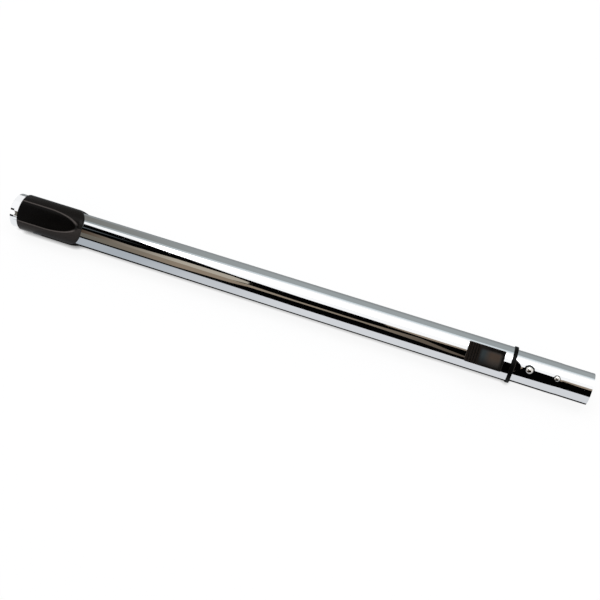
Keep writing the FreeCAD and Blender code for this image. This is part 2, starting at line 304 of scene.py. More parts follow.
@dataclass(frozen=True)
class MirrorChrome(Finish):
    """Bright chrome plate over drawn and polished steel: a clear mirror with faint lines along the draw."""

    haze: str = "#F1F3F5"
    draw_line_mm: float = 0.9
    draw_length_mm: float = 70.0
    haze_mm: float = 45.0
    roughness_spread: float = 0.018

    def dress(self, surface: Surface) -> None:
        """Add the draw lines and a slow change of tone.

        Args:
            surface: the material's nodes so far.
        """
        surface.shader.inputs["Metallic"].default_value = 1.0
        lines = surface.noise((self.draw_length_mm, self.draw_line_mm, self.draw_line_mm), detail=2.0)
        surface.vary_roughness(lines, self.roughness, self.roughness_spread)
        surface.vary_colour(surface.noise([self.haze_mm] * 3, detail=1.0), self.haze)


@dataclass(frozen=True)
class NotchedChrome(MirrorChrome):
    """Chrome with two dashes of painted shade beside the sides of the mouth's notch. Sizes in millimetres."""

    notch_shade: str = "#0A0908"
    notch_shade_half: float = 4.3
    notch_shade_length: float = 4.2
    fade: float = 0.3

    def dress(self, surface: Surface) -> None:
        """Add the painted shade beside the notch's sides to the lines and tone.

        Args:
            surface: the material's nodes so far.
        """
        super().dress(surface)
        up = Matrix.Rotation(math.radians(NOTCH_TURN), 3, "X") @ slider_direction()
        along, across, height = (surface.measure(way) for way in (AHEAD, up.cross(AHEAD), up))
        aside = add_node(surface.tree, "ShaderNodeMath", {"operation": "ABSOLUTE"}, {0: across}).outputs[0]
        # Painted shade: dark dashes on the chrome along both sides of the notch.
        surface.tone(self.notch_shade, (along, self.notch_shade_length + self.fade, self.notch_shade_length),
                     (aside, self.notch_shade_half + self.fade, self.notch_shade_half), (height, 0, self.fade))


@dataclass(frozen=True)
class BrightSteel(Finish):
    """Drawn, turned or rolled steel, bare or nickel-plated: a mirror with a little haze."""

    haze: str = "#CFCBC4"
    grain_mm: float = 0.6
    roughness_spread: float = 0.03

    def dress(self, surface: Surface) -> None:
        """Add fine haze and tone.

        Args:
            surface: the material's nodes so far.
        """
        surface.shader.inputs["Metallic"].default_value = 1.0
        grain = surface.noise([self.grain_mm] * 3, detail=3.0)
        surface.vary_roughness(grain, self.roughness, self.roughness_spread)
        surface.vary_colour(grain, self.haze)


@dataclass(frozen=True)
class DomedSteel(BrightSteel):
    """Bright dome, painted black below a height over the wand's axis as shade in the gap round it."""

    foot_shade: str = "#0A0908"
    skirt_top_mm: float = 16.4
    fade_mm: float = 0.25

    def dress(self, surface: Surface) -> None:
        """Add the painted shade round the dome's foot to the haze and tone.

        Args:
            surface: the material's nodes so far.
        """
        super().dress(surface)
        height = surface.measure(slider_direction())
        # Painted shade: black below the height where the dome sits in its hole.
        surface.tone(self.foot_shade, (height, self.skirt_top_mm + self.fade_mm, self.skirt_top_mm))


@dataclass(frozen=True)
class MouldedPlastic(Finish):
    """Injection-moulded plastic: a spark-eroded mould leaves a fine grain, handling polishes it in patches."""

    wear_and_sheen: str = "#1A1817"
    grain_mm: float = 0.7
    grain_depth_mm: float = 0.02
    grain_strength: float = 0.25
    wear_mm: float = 14.0
    roughness_spread: float = 0.05
    specular: float = 0.3
    edge_round_mm: float = 0.3

    def dress(self, surface: Surface) -> None:
        """Add the mould's grain and the polish of handling.

        Args:
            surface: the material's nodes so far.
        """
        tree, shader = surface.tree, surface.shader
        shader.inputs["Specular IOR Level"].default_value = self.specular
        # Spark-eroded grain is about 0.1 mm. It is drawn coarser so that it shows at the render's scale.
        grain = surface.noise([self.grain_mm] * 3, detail=2.0)
        soft = add_node(tree, "ShaderNodeBevel", {"samples": EDGE_SAMPLES, "Radius": self.edge_round_mm * MM})
        relief = {"Distance": self.grain_depth_mm * MM, "Strength": self.grain_strength}
        bump = add_node(tree, "ShaderNodeBump", relief, {"Height": grain, "Normal": soft.outputs["Normal"]})
        tree.links.new(bump.outputs["Normal"], shader.inputs["Normal"])
        wear = surface.noise([self.wear_mm] * 3, detail=3.0)
        surface.vary_roughness(wear, self.roughness, self.roughness_spread)
        surface.vary_colour(wear, self.wear_and_sheen)


@dataclass(frozen=True)
class LippedPlastic(MouldedPlastic):
    """Moulded plastic with a painted pale highlight on the panel's lips and a painted sheen on the flanks, as a
    mark on the mesh says.
    """

    sheen_colour: str = "#6E6764"
    mark: str = "lip_wear"

    def dress(self, surface: Surface) -> None:
        """Add the painted highlight and sheen to the grain and polish.

        Args:
            surface: the material's nodes so far.
        """
        super().dress(surface)
        # Painted highlight on the lips and painted sheen on the flanks, laid on as the mesh's mark says.
        wear_and_sheen = add_node(surface.tree, "ShaderNodeAttribute", {"attribute_name": self.mark})
        surface.vary_colour(wear_and_sheen.outputs["Fac"], self.sheen_colour)


@dataclass(frozen=True)
class ThumbPlastic(MouldedPlastic):
    """Moulded plastic with a painted highlight on the rib tops and a painted reflection in the thumb hollow, cool
    grey, then brown. Sizes in millimetres.
    """

    rib_top_highlight: str = "#1D1714"
    cool: str = "#30383B"
    brown: str = "#483D35"
    ribs: float = 12.0
    rib_fade: float = 0.5
    cool_end: float = 20.0
    tone_fade: float = 3.0
    end_lip: float = 1.8
    groove_floor: float = 21.6
    rib_height: float = 22.0
    hollow_edges: tuple[float, float, float, float] = (-9.0, 0.0, 4.6, 7.2)

    def dress(self, surface: Surface) -> None:
        """Add the painted rib-top highlight and the hollow's two painted reflection tones to the grain and polish.

        Args:
            surface: the material's nodes so far.
        """
        super().dress(surface)
        start, end = node_span("thumb_slider")
        ribs_end, hollow_end, turn = start + self.ribs, end - self.end_lip, start + self.cool_end
        up = slider_direction()
        along, across, height = (surface.measure(way) for way in (AHEAD, up.cross(AHEAD), up))
        # Painted highlight on the rib tops.
        surface.tone(self.rib_top_highlight, (along, ribs_end + self.rib_fade, ribs_end),
                     (height, self.groove_floor, self.rib_height))
        low_out, low_in, high_in, high_out = self.hollow_edges
        hollow = ((across, low_out, low_in), (across, high_out, high_in),
                  (along, ribs_end, ribs_end + self.tone_fade), (along, hollow_end, hollow_end - self.tone_fade))
        # Painted reflection in the hollow: cool grey, then brown past the turn.
        surface.tone(self.cool, *hollow)
        surface.tone(self.brown, *hollow, (along, turn - self.tone_fade, turn + self.tone_fade))


# Chrome shows its surroundings almost unchanged. The metal's own tint is a cool near-white.
CHROME = MirrorChrome("hard_chrome_plate_on_drawn_steel", "#FDFDFE", 0.03)
# The same plate, with two dashes of painted shade beside the notch at the mouth.
NOTCHED_CHROME = NotchedChrome("hard_chrome_plate_with_punched_notch", "#FDFDFE", 0.03)
# Bores and punched edges aren't plated: drawn steel with a dull dark sheen, kept darker than bare steel as painted
# shade inside the tube and its cuts.
BARE_STEEL = BrightSteel("bare_drawn_steel", "#37383A", 0.36, haze="#2A2B2D")
# Nickel is a little warmer and softer than the chrome beside it, and the domes are painted black round their foot
# as shade in the gap round them.
NICKEL = BrightSteel("nickel_plated_turned_steel", "#EFEDE9", 0.06)
BUTTON_NICKEL = DomedSteel("nickel_plated_pressed_steel_dome", "#EFEDE9", 0.06, skirt_top_mm=17.5)
RIVET_NICKEL = DomedSteel("nickel_plated_rivet_steel", "#EFEDE9", 0.06, skirt_top_mm=16.7)
# Spring steel is darker, with the sheen of drawn wire and rolled strip.
SPRING_STEEL = BrightSteel("bright_rolled_spring_steel", "#8E9095", 0.22, haze="#75777B")
# The sleeve is satin: deep black panels, a painted brown-grey sheen on the front flank, and a painted grey
# highlight on the lips.
SLEEVE_ABS = LippedPlastic("satin_moulded_abs_black", "#050404", 0.2, wear_and_sheen="#0B0908", grain_strength=0.12,
                           specular=0.07)
# The slider is polished by the mould and by use, so its rib edges glint; its rib tops carry a painted highlight and
# its thumb hollow a painted reflection, cool grey, then brown.
SLIDER_ABS = ThumbPlastic("gloss_moulded_abs_black", "#0B0A0A", 0.18, wear_and_sheen="#151311", grain_strength=0.06,
                          specular=0.2)
# Acetal is dense and waxy, with no visible grain.
BUSH_ACETAL = MouldedPlastic("moulded_acetal_black", "#050505", 0.3, wear_and_sheen="#0A0A0A", grain_strength=0.08,
                             specular=0.06)


def slider_direction() -> Vector:
    """Unit direction from the wand's axis to the slider, read from the lock roller's lift."""
    lift = next(joint for joint in frame["joints"] if joint["name"] == "roller_lift")
    return Vector(lift["axis"])


def to_frame() -> Matrix:
    """Matrix from the wand's local millimetres to the frame's metres."""
    up = slider_direction()
    return Matrix.Rotation(math.atan2(-up.y, up.z), 4, "X") @ Matrix.Scale(MM, 4)


def node_span(node: str) -> tuple[float, float]:
    """Start and end of a node along the wand, in millimetres."""
    low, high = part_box(node)
    return low.x / MM, high.x / MM


def node_middle(node: str) -> float:
    """Middle of a node along the wand, in millimetres."""
    low, high = node_span(node)
    return (low + high) / 2


def new_piece(name: str, points: Sequence[Point], faces: Sequence[Sequence[int]]) -> Piece:
    """Make a mesh object and link it to the scene.

    Args:
        name: the piece's name.
        points: its corners.
        faces: corner numbers of each face.

    Returns:
        The object.
    """
    mesh = bpy.data.meshes.new(name)
    mesh.from_pydata([tuple(p) for p in points], [], [tuple(f) for f in faces])
    mesh.update()
    piece = bpy.data.objects.new(name, mesh)
    bpy.context.scene.collection.objects.link(piece)
    return piece


def loft(name: str, rings: Sequence[Ring], closed: bool = False) -> Piece:
    """Join rings of equally many points into one closed surface.

    Args:
        name: the piece's name.
        rings: the rings in order.
        closed: whether the last ring joins the first. If not, both get a cap.

    Returns:
        The piece.
    """
    around = len(rings[0])
    last = (len(rings) - 1) * around
    faces = [] if closed else [tuple(reversed(range(around))), tuple(range(last, last + around))]
    for at in range(len(rings) if closed else len(rings) - 1):
        here, there = at * around, ((at + 1) % len(rings)) * around
        faces += [(here + k, here + (k + 1) % around, there + (k + 1) % around, there + k) for k in range(around)]
    return new_piece(name, [point for ring in rings for point in ring], faces)


def paint(piece: Piece, *finishes: Finish) -> None:
    """Give a piece its finishes, in the order of its faces' material numbers."""
    for finish in finishes:
        piece.data.materials.append(finish.material())


def tidy_mesh(piece: Piece, sharp: float = SHARP_EDGE) -> None:
    """Turn faces outwards, round the shading and keep true edges sharp.

    Args:
        piece: object whose mesh is tidied.
        sharp: edges that turn by more degrees than this stay sharp.
    """
    work = bmesh.new()
    work.from_mesh(piece.data)
    bmesh.ops.remove_doubles(work, verts=work.verts, dist=MERGE)
    bmesh.ops.recalc_face_normals(work, faces=work.faces)
    work.to_mesh(piece.data)
    work.free()
    piece.data.shade_smooth()
    piece.data.set_sharp_from_angle(angle=math.radians(sharp))


def skin(name: str, outer: Sequence[Ring], inner: Sequence[Ring], *finishes: Finish) -> Piece:
    """Close an outer and an inner surface into one wall.

    Args:
        name: the piece's name.
        outer: rings of the outer surface along the wand, each with the same number of points.
        inner: rings of the inner surface, with as many points in each ring.
        finishes: finish of the wall, and of its inner surface where that differs.

    Returns:
        The closed piece in local millimetres.
    """
    rings = [*outer, *reversed(inner)]
    wall = loft(name, rings, closed=True)
    paint(wall, *finishes)
    around = len(rings[0])
    for at in range(len(outer) * around, (len(rings) - 1) * around):
        wall.data.polygons[at].material_index = len(finishes) - 1
    return wall


def even_angles(count: int) -> list[float]:
    """Angles spread evenly round a full turn."""
    return [2 * math.pi * k / count for k in range(count)]


def round_rings(profile: Sequence[tuple[float, float]], angles: Sequence[float]) -> list[Ring]:
    """Circles about the wand's axis in local millimetres, one for each place and radius of a profile."""
    return [[(x, radius * math.sin(a), radius * math.cos(a)) for a in angles] for x, radius in profile]


def prism(name: str, outline: Sequence[tuple[float, float]], top: float, *finishes: Finish) -> Piece:
    """Upright prism that stands on an outline in the local XY plane.

    Args:
        name: the piece's name.
        outline: corners in order, as (x, y).
        top: height of its top.
        finishes: finish that it leaves on what it cuts, if not the piece's own.

    Returns:
        The prism in local millimetres.
    """
    made = loft(name, [[(x, y, z) for x, y in outline] for z in (0, top)])
    paint(made, *finishes)
    tidy_mesh(made)
    return made


def disc_outline(x: float, radius: float) -> list[tuple[float, float]]:
    """Circle in the local XY plane on the wand's centre line."""
    return [(x + radius * math.cos(a), radius * math.sin(a)) for a in even_angles(HOLE_CORNERS)]


def cut_away(piece: Piece, *cutters: Piece) -> None:
    """Cut solids out of a piece, remove them and tidy the piece.

    Args:
        piece: piece that is cut.
        cutters: closed solids.
    """
    for cutter in cutters:
        change = piece.modifiers.new(cutter.name, "BOOLEAN")
        change.object = cutter
        change.operation = "DIFFERENCE"
        change.solver = "EXACT"
        change.material_mode = "TRANSFER"
    graph = bpy.context.evaluated_depsgraph_get()
    made = bpy.data.meshes.new_from_object(piece.evaluated_get(graph))
    piece.modifiers.clear()
    piece.data = made
    for cutter in cutters:
        bpy.data.objects.remove(cutter)
    tidy_mesh(piece)


def stand_for(piece: Piece, slot: Slot, *nodes: str) -> None:
    """Let a piece stand for CAD nodes, and report it.

    Args:
        piece: dressed piece in the frame.
        slot: material slot of the record; not used.
        nodes: CAD nodes that it replaces.
    """
    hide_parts(*nodes)
    LOG.info("%s: %d faces, stands for %s", piece.name, len(piece.data.polygons), ", ".join(nodes))


def seat(piece: Piece, body: Body, slot: Slot, *nodes: str) -> None:
    """Bring a dressed piece into the frame and let it stand for CAD nodes.

    Args:
        piece: piece in local millimetres.
        body: body that it rides on.
        slot: material slot of the record; not used.
        nodes: CAD nodes that it replaces.
    """
    piece.data.transform(to_frame())
    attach(piece, body.value)
    stand_for(piece, slot, *nodes)


class SubAssembly(ABC):
    """A group of pieces that belong together on the bench."""

    @abstractmethod
    def build(self) -> None:
        """Build and dress the pieces."""


@dataclass
class OuterTube(SubAssembly):
    """Chromed outer tube with a widened socket, its notch and the lock's window. Sizes in millimetres."""

    radius: float = 17.5
    wall: float = 0.75
    socket_radius: float = 18.4
    socket_depth: float = 62.0
    taper: float = 8.0
    rim_round: float = 0.25
    rim_steps: int = 4
    notch_width: float = 5.2
    notch_depth: float = 6.0
    notch_steps: int = 24
    window_length: float = 26.1
    window_width: float = 16.1
    cut_over: float = 5.0
    segments: int = 180

    def rim(self) -> list[tuple[float, float]]:
        """Places and radii that round the mouth's outer edge."""
        turns = [QUARTER * k / self.rim_steps for k in range(self.rim_steps, -1, -1)]
        return [(self.rim_round * (1 - math.sin(t)), self.socket_radius - self.rim_round * (1 - math.cos(t)))
                for t in turns]

    def notch(self) -> Piece:
        """Make the cutter of the notch in the mouth: parallel sides and a round end.

        Returns:
            The cutter in local millimetres.
        """
        half = self.notch_width / 2
        turns = [QUARTER - math.pi * k / self.notch_steps for k in range(self.notch_steps + 1)]
        bend = [(self.notch_depth - half + half * math.cos(t), half * math.sin(t)) for t in turns]
        outline = [(-self.cut_over, half), *bend, (-self.cut_over, -half)]
        cutter = prism("notch_cutter", outline, self.socket_radius + self.cut_over, BARE_STEEL)
        cutter.data.transform(Matrix.Rotation(math.radians(NOTCH_TURN), 4, "X"))
        return cutter

    def window(self) -> Piece:
        """Make the cutter of the window over the lock roller.

        Returns:
            The cutter in local millimetres.
        """
        middle = node_middle("lock_roller")
        x0, x1, y = middle - self.window_length / 2, middle + self.window_length / 2, self.window_width / 2
        outline = [(x0, -y), (x1, -y), (x1, y), (x0, y)]
        return prism("window_cutter", outline, self.radius + self.cut_over, BARE_STEEL)

    def build(self) -> None:
        """Build the tube and dress it in chrome."""
        _, length = node_span("outer_tube")
        angles = even_angles(self.segments)
        cone_end = self.socket_depth + self.taper
        socket_bore, bore = self.socket_radius - self.wall, self.radius - self.wall
        outer = [*self.rim(), (self.socket_depth - SHADE_STOP, self.socket_radius),
                 (self.socket_depth, self.socket_radius), (cone_end, self.radius),
                 (cone_end + SHADE_STOP, self.radius), (length, self.radius)]
        inner = [(0, socket_bore), (self.socket_depth, socket_bore), (cone_end, bore), (length, bore)]
        tube = skin("outer_tube_chrome", round_rings(outer, angles), round_rings(inner, angles),
                    NOTCHED_CHROME, BARE_STEEL)
        tidy_mesh(tube)
        cut_away(tube, self.notch(), self.window())
        seat(tube, Body.OUTER, Slot.CHROME_TUBE, "outer_tube")


@dataclass
class InnerTube(SubAssembly):
    """Chromed inner tube with its pressed flat, detents, button hole and rivet hole. Sizes in millimetres."""

    radius: float = 16.0
    wall: float = 0.7
    spigot_length: float = 29.0
    spigot_taper: float = 6.0
    spigot_relief: float = 0.2
    flat_depth: float = 1.8
    run_out: float = 10.0
    ramp_steps: int = 16
    flat_past_ring: float = 10.5
    flat_tail: float = 25.0
    lock_pitch: float = 33.0
    lock_steps: int = 12
    detent_radius: float = 2.6
    detent_depth: float = 0.9
    detent_half: float = 5.8
    detent_steps: int = 5
    button_hole: float = 5.1
    rivet_hole: float = 1.65
    cut_over: float = 5.0
    fine_step: float = 1.0
    coarse_step: float = 3.0

    def __post_init__(self) -> None:
        """Take the places along the wand from the frame."""
        self.start, self.end = node_span("inner_tube")
        _, collar = node_span("outer_tube")
        lock = node_middle("lock_roller")
        self.detents = [lock - step * self.lock_pitch for step in range(self.lock_steps + 1)]
        self.flat_start = self.detents[-1] - self.flat_tail
        self.flat_end = collar + self.flat_past_ring

    def flat_height(self, x: float, inset: float) -> float:
        """Height of the pressed flat over the axis, with its sloping ends."""
        ends = max(self.flat_start - x, x - (self.flat_end - self.run_out), 0.0)
        return self.radius - self.flat_depth + ends / self.run_out * self.flat_depth - inset

    def detent_height(self, x: float, y: float, inset: float) -> float:
        """Find the height of a detent's hollow over the axis.

        Args:
            x: place along the wand.
            y: place across it.
            inset: depth below the outer surface.

        Returns:
            The height, or infinity away from every detent.
        """
        nearest = min(self.detents, key=lambda middle: abs(middle - x))
        reach = self.detent_radius + inset
        if abs(x - nearest) >= reach or abs(y) > self.detent_half + inset:
            return math.inf
        axis_z = self.radius - self.flat_depth - self.detent_depth + self.detent_radius
        return axis_z - math.sqrt(reach ** 2 - (x - nearest) ** 2)

    def ring(self, x: float, angles: Sequence[float], inset: float) -> Ring:
        """One ring of the tube's surface, pressed down where the flat and detents are.

        Args:
            x: place along the wand.
            angles: angles from the slider's side.
            inset: depth below the outer surface.

        Returns:
            The ring's points.
        """
        slope = (x - (self.end - self.spigot_length - self.spigot_taper)) / self.spigot_taper
        relief = self.spigot_relief * min(1.0, max(0.0, slope)) if inset == 0 else 0.0
        radius = self.radius - inset - relief
        points = []
        for angle in angles:
            y, z = radius * math.sin(angle), radius * math.cos(angle)
            if z > 0:
                z = min(z, self.flat_height(x, inset), self.detent_height(x, y, inset))
            points.append((x, y, z))
        return points

    def angles(self) -> list[float]:
        """Choose the angles round the tube, close together over the flat.

        Returns:
            The angles from the slider's side.
        """
        edge = math.ceil(math.degrees(math.acos(1 - self.flat_depth / self.radius))) + 1
        fine = [-edge + self.fine_step * k for k in range(int(2 * edge / self.fine_step))]
        rest = int((360 - 2 * edge) / self.coarse_step)
        coarse = [edge + (360 - 2 * edge) * k / rest for k in range(rest)]
        return [math.radians(a) for a in fine + coarse]

    def stations(self) -> list[float]:
        """Choose the places along the tube where its section changes.

        Returns:
            The places in order.
        """
        spigot = self.end - self.spigot_length
        slope = spigot - self.spigot_taper
        places = {self.start, slope - SHADE_STOP, slope, spigot, spigot + SHADE_STOP, self.end}
        for ramp in (self.flat_start - self.run_out, self.flat_end - self.run_out):
            places.update(ramp + self.run_out * k / self.ramp_steps for k in range(self.ramp_steps + 1))
        steps = self.detent_steps
        for middle in self.detents:
            places.update(middle + self.detent_radius * k / steps for k in range(-steps, steps + 1))
        return sorted(places)

    def build(self) -> None:
        """Build the tube and dress it in chrome."""
        angles, stations = self.angles(), self.stations()
        outer, inner = ([self.ring(x, angles, inset) for x in stations] for inset in (0.0, self.wall))
        tube = skin("inner_tube_chrome", outer, inner, CHROME, BARE_STEEL)
        tidy_mesh(tube)
        holes = {"snap_button": self.button_hole, "leaf_rivet": self.rivet_hole}
        cut_away(tube, *(prism(node + "_cutter", disc_outline(node_middle(node), radius),
                               self.radius + self.cut_over, BARE_STEEL) for node, radius in holes.items()))
        seat(tube, Body.INNER, Slot.CHROME_TUBE, "inner_tube")


@dataclass
class GripSleeve(SubAssembly):
    """Moulded black sleeve: square tail, tongue nose, and a sunk panel front and back. Sizes in millimetres."""

    radius: float = 19.8
    seat_gap: float = 0.05
    corner: float = 14.5
    corner_over: float = 0.3
    tail_round: float = 0.6
    tail_steps: int = 4
    nose_round: float = 2.0
    nose_reach: float = 4.2
    nose_steps: int = 5
    panel_length: float = 69.7
    panel_width: float = 22.0
    panel_straight: float = 31.0
    panel_depth: float = 0.8
    panel_edge_depth: float = 0.55
    panel_edge: float = 0.8
    # The lip and flank fields set a painted highlight on the lips and a painted sheen on the flanks.
    lip_offset: float = -0.15
    lip_width: float = 0.9
    lip_wear: float = 0.75
    tip_half: tuple[float, float] = (1.5, 5.0)
    front_flank_sheen: float = 0.25
    back_flank_sheen: float = 0.04
    sharp_degrees: float = 40.0
    around: int = 300
    along: int = 190

    def __post_init__(self) -> None:
        """Take the sleeve's ends from the frame."""
        self.tail, self.nose = node_span("grip_sleeve")

    def nose_end(self, angle: float) -> float:
        """Where the sleeve ends along the wand at an angle: square, with round corners seen from the front."""
        over = max(0.0, abs(self.radius * math.sin(angle)) - (self.radius + self.corner_over - self.corner))
        return self.nose - self.corner + math.sqrt(self.corner ** 2 - over ** 2)

    def inside_panel(self, x: float, y: float) -> float:
        """Find how far inside the panel's tongue outline a place is.

        Args:
            x: place along the wand.
            y: place across it.

        Returns:
            The distance to the outline, negative outside it.
        """
        half = self.panel_width / 2
        shoulder = self.tail + self.panel_straight
        if x <= shoulder:
            return half - abs(y)
        reach = self.panel_length - self.panel_straight
        u, v = (x - shoulder) / reach, y / half
        size = math.hypot(u, v)
        slope = math.hypot(u / reach, v / half) / max(size, TINY)
        return (1 - size) / max(slope, 1 / half)

    def surface(self, x: float, radius: float, angle: float) -> Point:
        """Point of the sleeve's outside, sunk to a crowned floor where a panel is.

        Args:
            x: place along the wand.
            radius: distance from the axis before the panel is sunk.
            angle: angle from the slider's side.

        Returns:
            The point in local millimetres.
        """
        y, z = radius * math.sin(angle), radius * math.cos(angle)
        share = smooth_step(-self.panel_edge / 2, self.panel_edge / 2, self.inside_panel(x, y))
        if share > 0 and abs(z) > self.radius / 2:
            half = self.panel_width / 2
            crown = self.radius - self.panel_depth
            edge = math.sqrt(self.radius ** 2 - half ** 2) - self.panel_edge_depth
            floor = crown - (crown - edge) * (y / half) ** 2
            z += (math.copysign(min(abs(z), floor), z) - z) * share
        return x, y, z

    def outer_rings(self, angles: Sequence[float]) -> list[Ring]:
        """Draw the outside from the tail's round to the nose's round.

        Args:
            angles: angles round the sleeve.

        Returns:
            Rings from tail to nose.
        """
        rings = []
        for k in range(self.tail_steps):
            turn = QUARTER * k / self.tail_steps
            drop, x = self.tail_round * (1 - math.sin(turn)), self.tail + self.tail_round * (1 - math.cos(turn))
            rings.append([self.surface(x, self.radius - drop, a) for a in angles])
        first = self.tail + self.tail_round
        lengths = [self.nose_end(a) - self.nose_reach - first for a in angles]
        for k in range(self.along + 1):
            rings.append([self.surface(first + length * (k / self.along), self.radius, a)
                          for a, length in zip(angles, lengths)])
        for k in range(1, self.nose_steps + 1):
            turn = QUARTER * k / self.nose_steps
            radius = self.radius - self.nose_round * (1 - math.cos(turn))
            back = self.nose_reach * (1 - math.sin(turn))
            rings.append([self.surface(self.nose_end(a) - back, radius, a) for a in angles])
        return rings

    def mark_lips(self, sleeve: Piece) -> None:
        """Mark the painted highlight on the lips beside the panels, and a fainter painted sheen on the flanks.

        Args:
            sleeve: the sleeve in local millimetres.
        """
        mark = sleeve.data.attributes.new(SLEEVE_ABS.mark, "FLOAT", "POINT")
        for corner in sleeve.data.vertices:
            x, y, z = corner.co
            inside = self.inside_panel(x, y) if abs(z) > self.radius / 2 else -self.radius
            lip = 1 - smooth_step(0, self.lip_width, abs(inside - self.lip_offset))
            flank = smooth_step(0, self.lip_width, -inside)
            # The front flank (y below zero) gets more painted sheen than the back one.
            wear_and_sheen = self.front_flank_sheen if y < 0 else self.back_flank_sheen
            mark.data[corner.index].value = max(self.lip_wear * lip * smooth_step(*self.tip_half, abs(y)),
                                                wear_and_sheen * flank)

    def build(self) -> None:
        """Build the sleeve, its bore stepped over the tube, and dress it in satin plastic."""
        angles, tube = even_angles(self.around), OuterTube()
        wide, narrow = tube.socket_radius + self.seat_gap, tube.radius + self.seat_gap
        profile = [(self.tail, wide), (tube.socket_depth, wide), (tube.socket_depth + tube.taper, narrow)]
        bore_end = [(self.nose_end(a), narrow * math.sin(a), narrow * math.cos(a)) for a in angles]
        sleeve = skin("grip_sleeve_moulding", self.outer_rings(angles),
                      [*round_rings(profile, angles), bore_end], SLEEVE_ABS)
        tidy_mesh(sleeve, self.sharp_degrees)
        self.mark_lips(sleeve)
        seat(sleeve, Body.OUTER, Slot.BLACK_SLEEVE, "grip_sleeve")


@dataclass
class ReturnSprings(SubAssembly):
    """The slider's two coiled return springs, which shorten as it is pushed. Sizes in millimetres."""

    wire: float = 0.4
    turns: float = 4.0
    travel: float = 4.0
    steps_per_turn: int = 24
    wire_corners: int = 8
    sharp_degrees: float = 60.0

    def coil(self, node: str) -> Piece:
        """Wind a round-wire coil in a spring node's place.

        Args:
            node: CAD node of the spring.

        Returns:
            The coil, drawn straight in the frame's metres.
        """
        low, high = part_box(node)
        middle = (low + high) / 2
        wire = self.wire * MM / 2
        mean = ((high.y - low.y) + (high.z - low.z)) / 4 - wire
        steps = int(self.turns * self.steps_per_turn)
        rings = []
        for step in range(steps + 1):
            turn = 2 * math.pi * self.turns * step / steps
            out = Vector((0, math.cos(turn), math.sin(turn)))
            x = low.x + wire + (high.x - low.x - 2 * wire) * step / steps
            centre = Vector((x, middle.y, middle.z)) + out * mean
            rings.append([centre + out * (wire * math.cos(a)) + AHEAD * (wire * math.sin(a))
                          for a in even_angles(self.wire_corners)])
        made = loft(node + "_coil", rings)
        tidy_mesh(made, self.sharp_degrees)
        return made

    def build(self) -> None:
        """Build both coils and attach them to the outer body."""
        for node in ("slider_spring_left", "slider_spring_right"):
            coil = self.coil(node)
            paint(coil, SPRING_STEEL)
            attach(coil, Body.OUTER.value)
            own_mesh(coil)
            stand_for(coil, Slot.SPRING_STEEL, node)


@dataclass
class ButtonLeaf(SubAssembly):
    """Leaf spring under the snap button, which bends between rivet and button. Sizes in millimetres."""

    thickness: float = 0.6
    width: float = 8.0
    overhang: float = 6.5
    at_button: float = 12.99
    at_rivet: float = 14.72
    rivet_hole: float = 1.65
    cells: int = 48

    def top(self, x: float, button: float, rivet: float) -> float:
        """Height of the leaf's upper face at a place along the wand."""
        share = (x - (button + self.overhang)) / ((rivet - self.overhang) - (button + self.overhang))
        return self.at_button + (self.at_rivet - self.at_button) * min(1.0, max(0.0, share))

    def build(self) -> None:
        """Build the leaf in its bent shape between button and rivet."""
        button, rivet = node_middle("snap_button"), node_middle("leaf_rivet")
        start, end = button - self.overhang, rivet + self.overhang
        rings = []
        for k in range(self.cells + 1):
            x = start + (end - start) * k / self.cells
            top, y = self.top(x, button, rivet), self.width / 2
            rings.append([(x, -y, top), (x, y, top), (x, y, top - self.thickness), (x, -y, top - self.thickness)])
        leaf = loft("button_leaf_strip", rings)
        tidy_mesh(leaf)
        cut_away(leaf, prism("leaf_cutter", disc_outline(rivet, self.rivet_hole), self.at_rivet * 2))
        leaf.data.transform(to_frame())
        paint(leaf, SPRING_STEEL)
        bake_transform(leaf)
        stand_for(leaf, Slot.SPRING_STEEL, "button_leaf")


@dataclass
class CadPieces(SubAssembly):
    """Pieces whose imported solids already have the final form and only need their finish."""

    finishes: Mapping[str, Finish]

    def build(self) -> None:
        """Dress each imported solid."""
        for node, finish in self.finishes.items():
            piece = frame["nodes"][node]
            piece.data.materials.clear()
            paint(piece, finish)
            LOG.info("%s: dressed in %s", node, finish.name)


